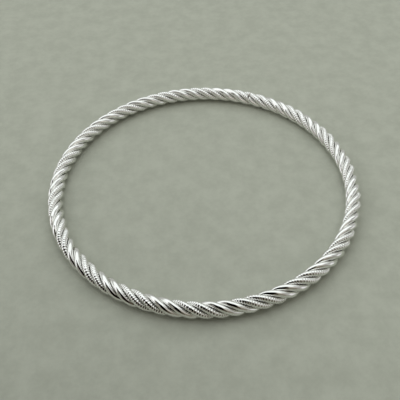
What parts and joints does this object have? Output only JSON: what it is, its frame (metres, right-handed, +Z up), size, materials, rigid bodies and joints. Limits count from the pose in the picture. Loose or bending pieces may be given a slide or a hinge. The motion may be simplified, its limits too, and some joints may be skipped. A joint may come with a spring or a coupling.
{
  "type": "twisted wire bangle",
  "caption": "Closed round bangle of plain and milled silver wires twisted into a slim rope, bent to a rigid ring and soldered shut, worn by passing it over the hand.",
  "frame": {"origin": "on the surface that the bangle lies on, under the centre of the ring", "axes": "+Z up, along the axis of the ring, which is the way the hand goes through; +X right and +Y away, with the soldered seam 67.5 degrees from +X towards +Y"},
  "size_m": [0.072, 0.072, 0.0035],
  "materials": {
    "plain_wire": "drawn silver wire, polished bright",
    "milled_wire": "silver wire with fine ribs rolled round it, polished on the crests",
    "solder": "silver solder, filed and dull"
  },
  "bodies": {
    "root": {"wire_plain_1": "plain_wire", "wire_plain_2": "plain_wire", "wire_milled_1": "milled_wire", "wire_milled_2": "milled_wire", "solder_joint": "solder"}
  },
  "joints": []
}
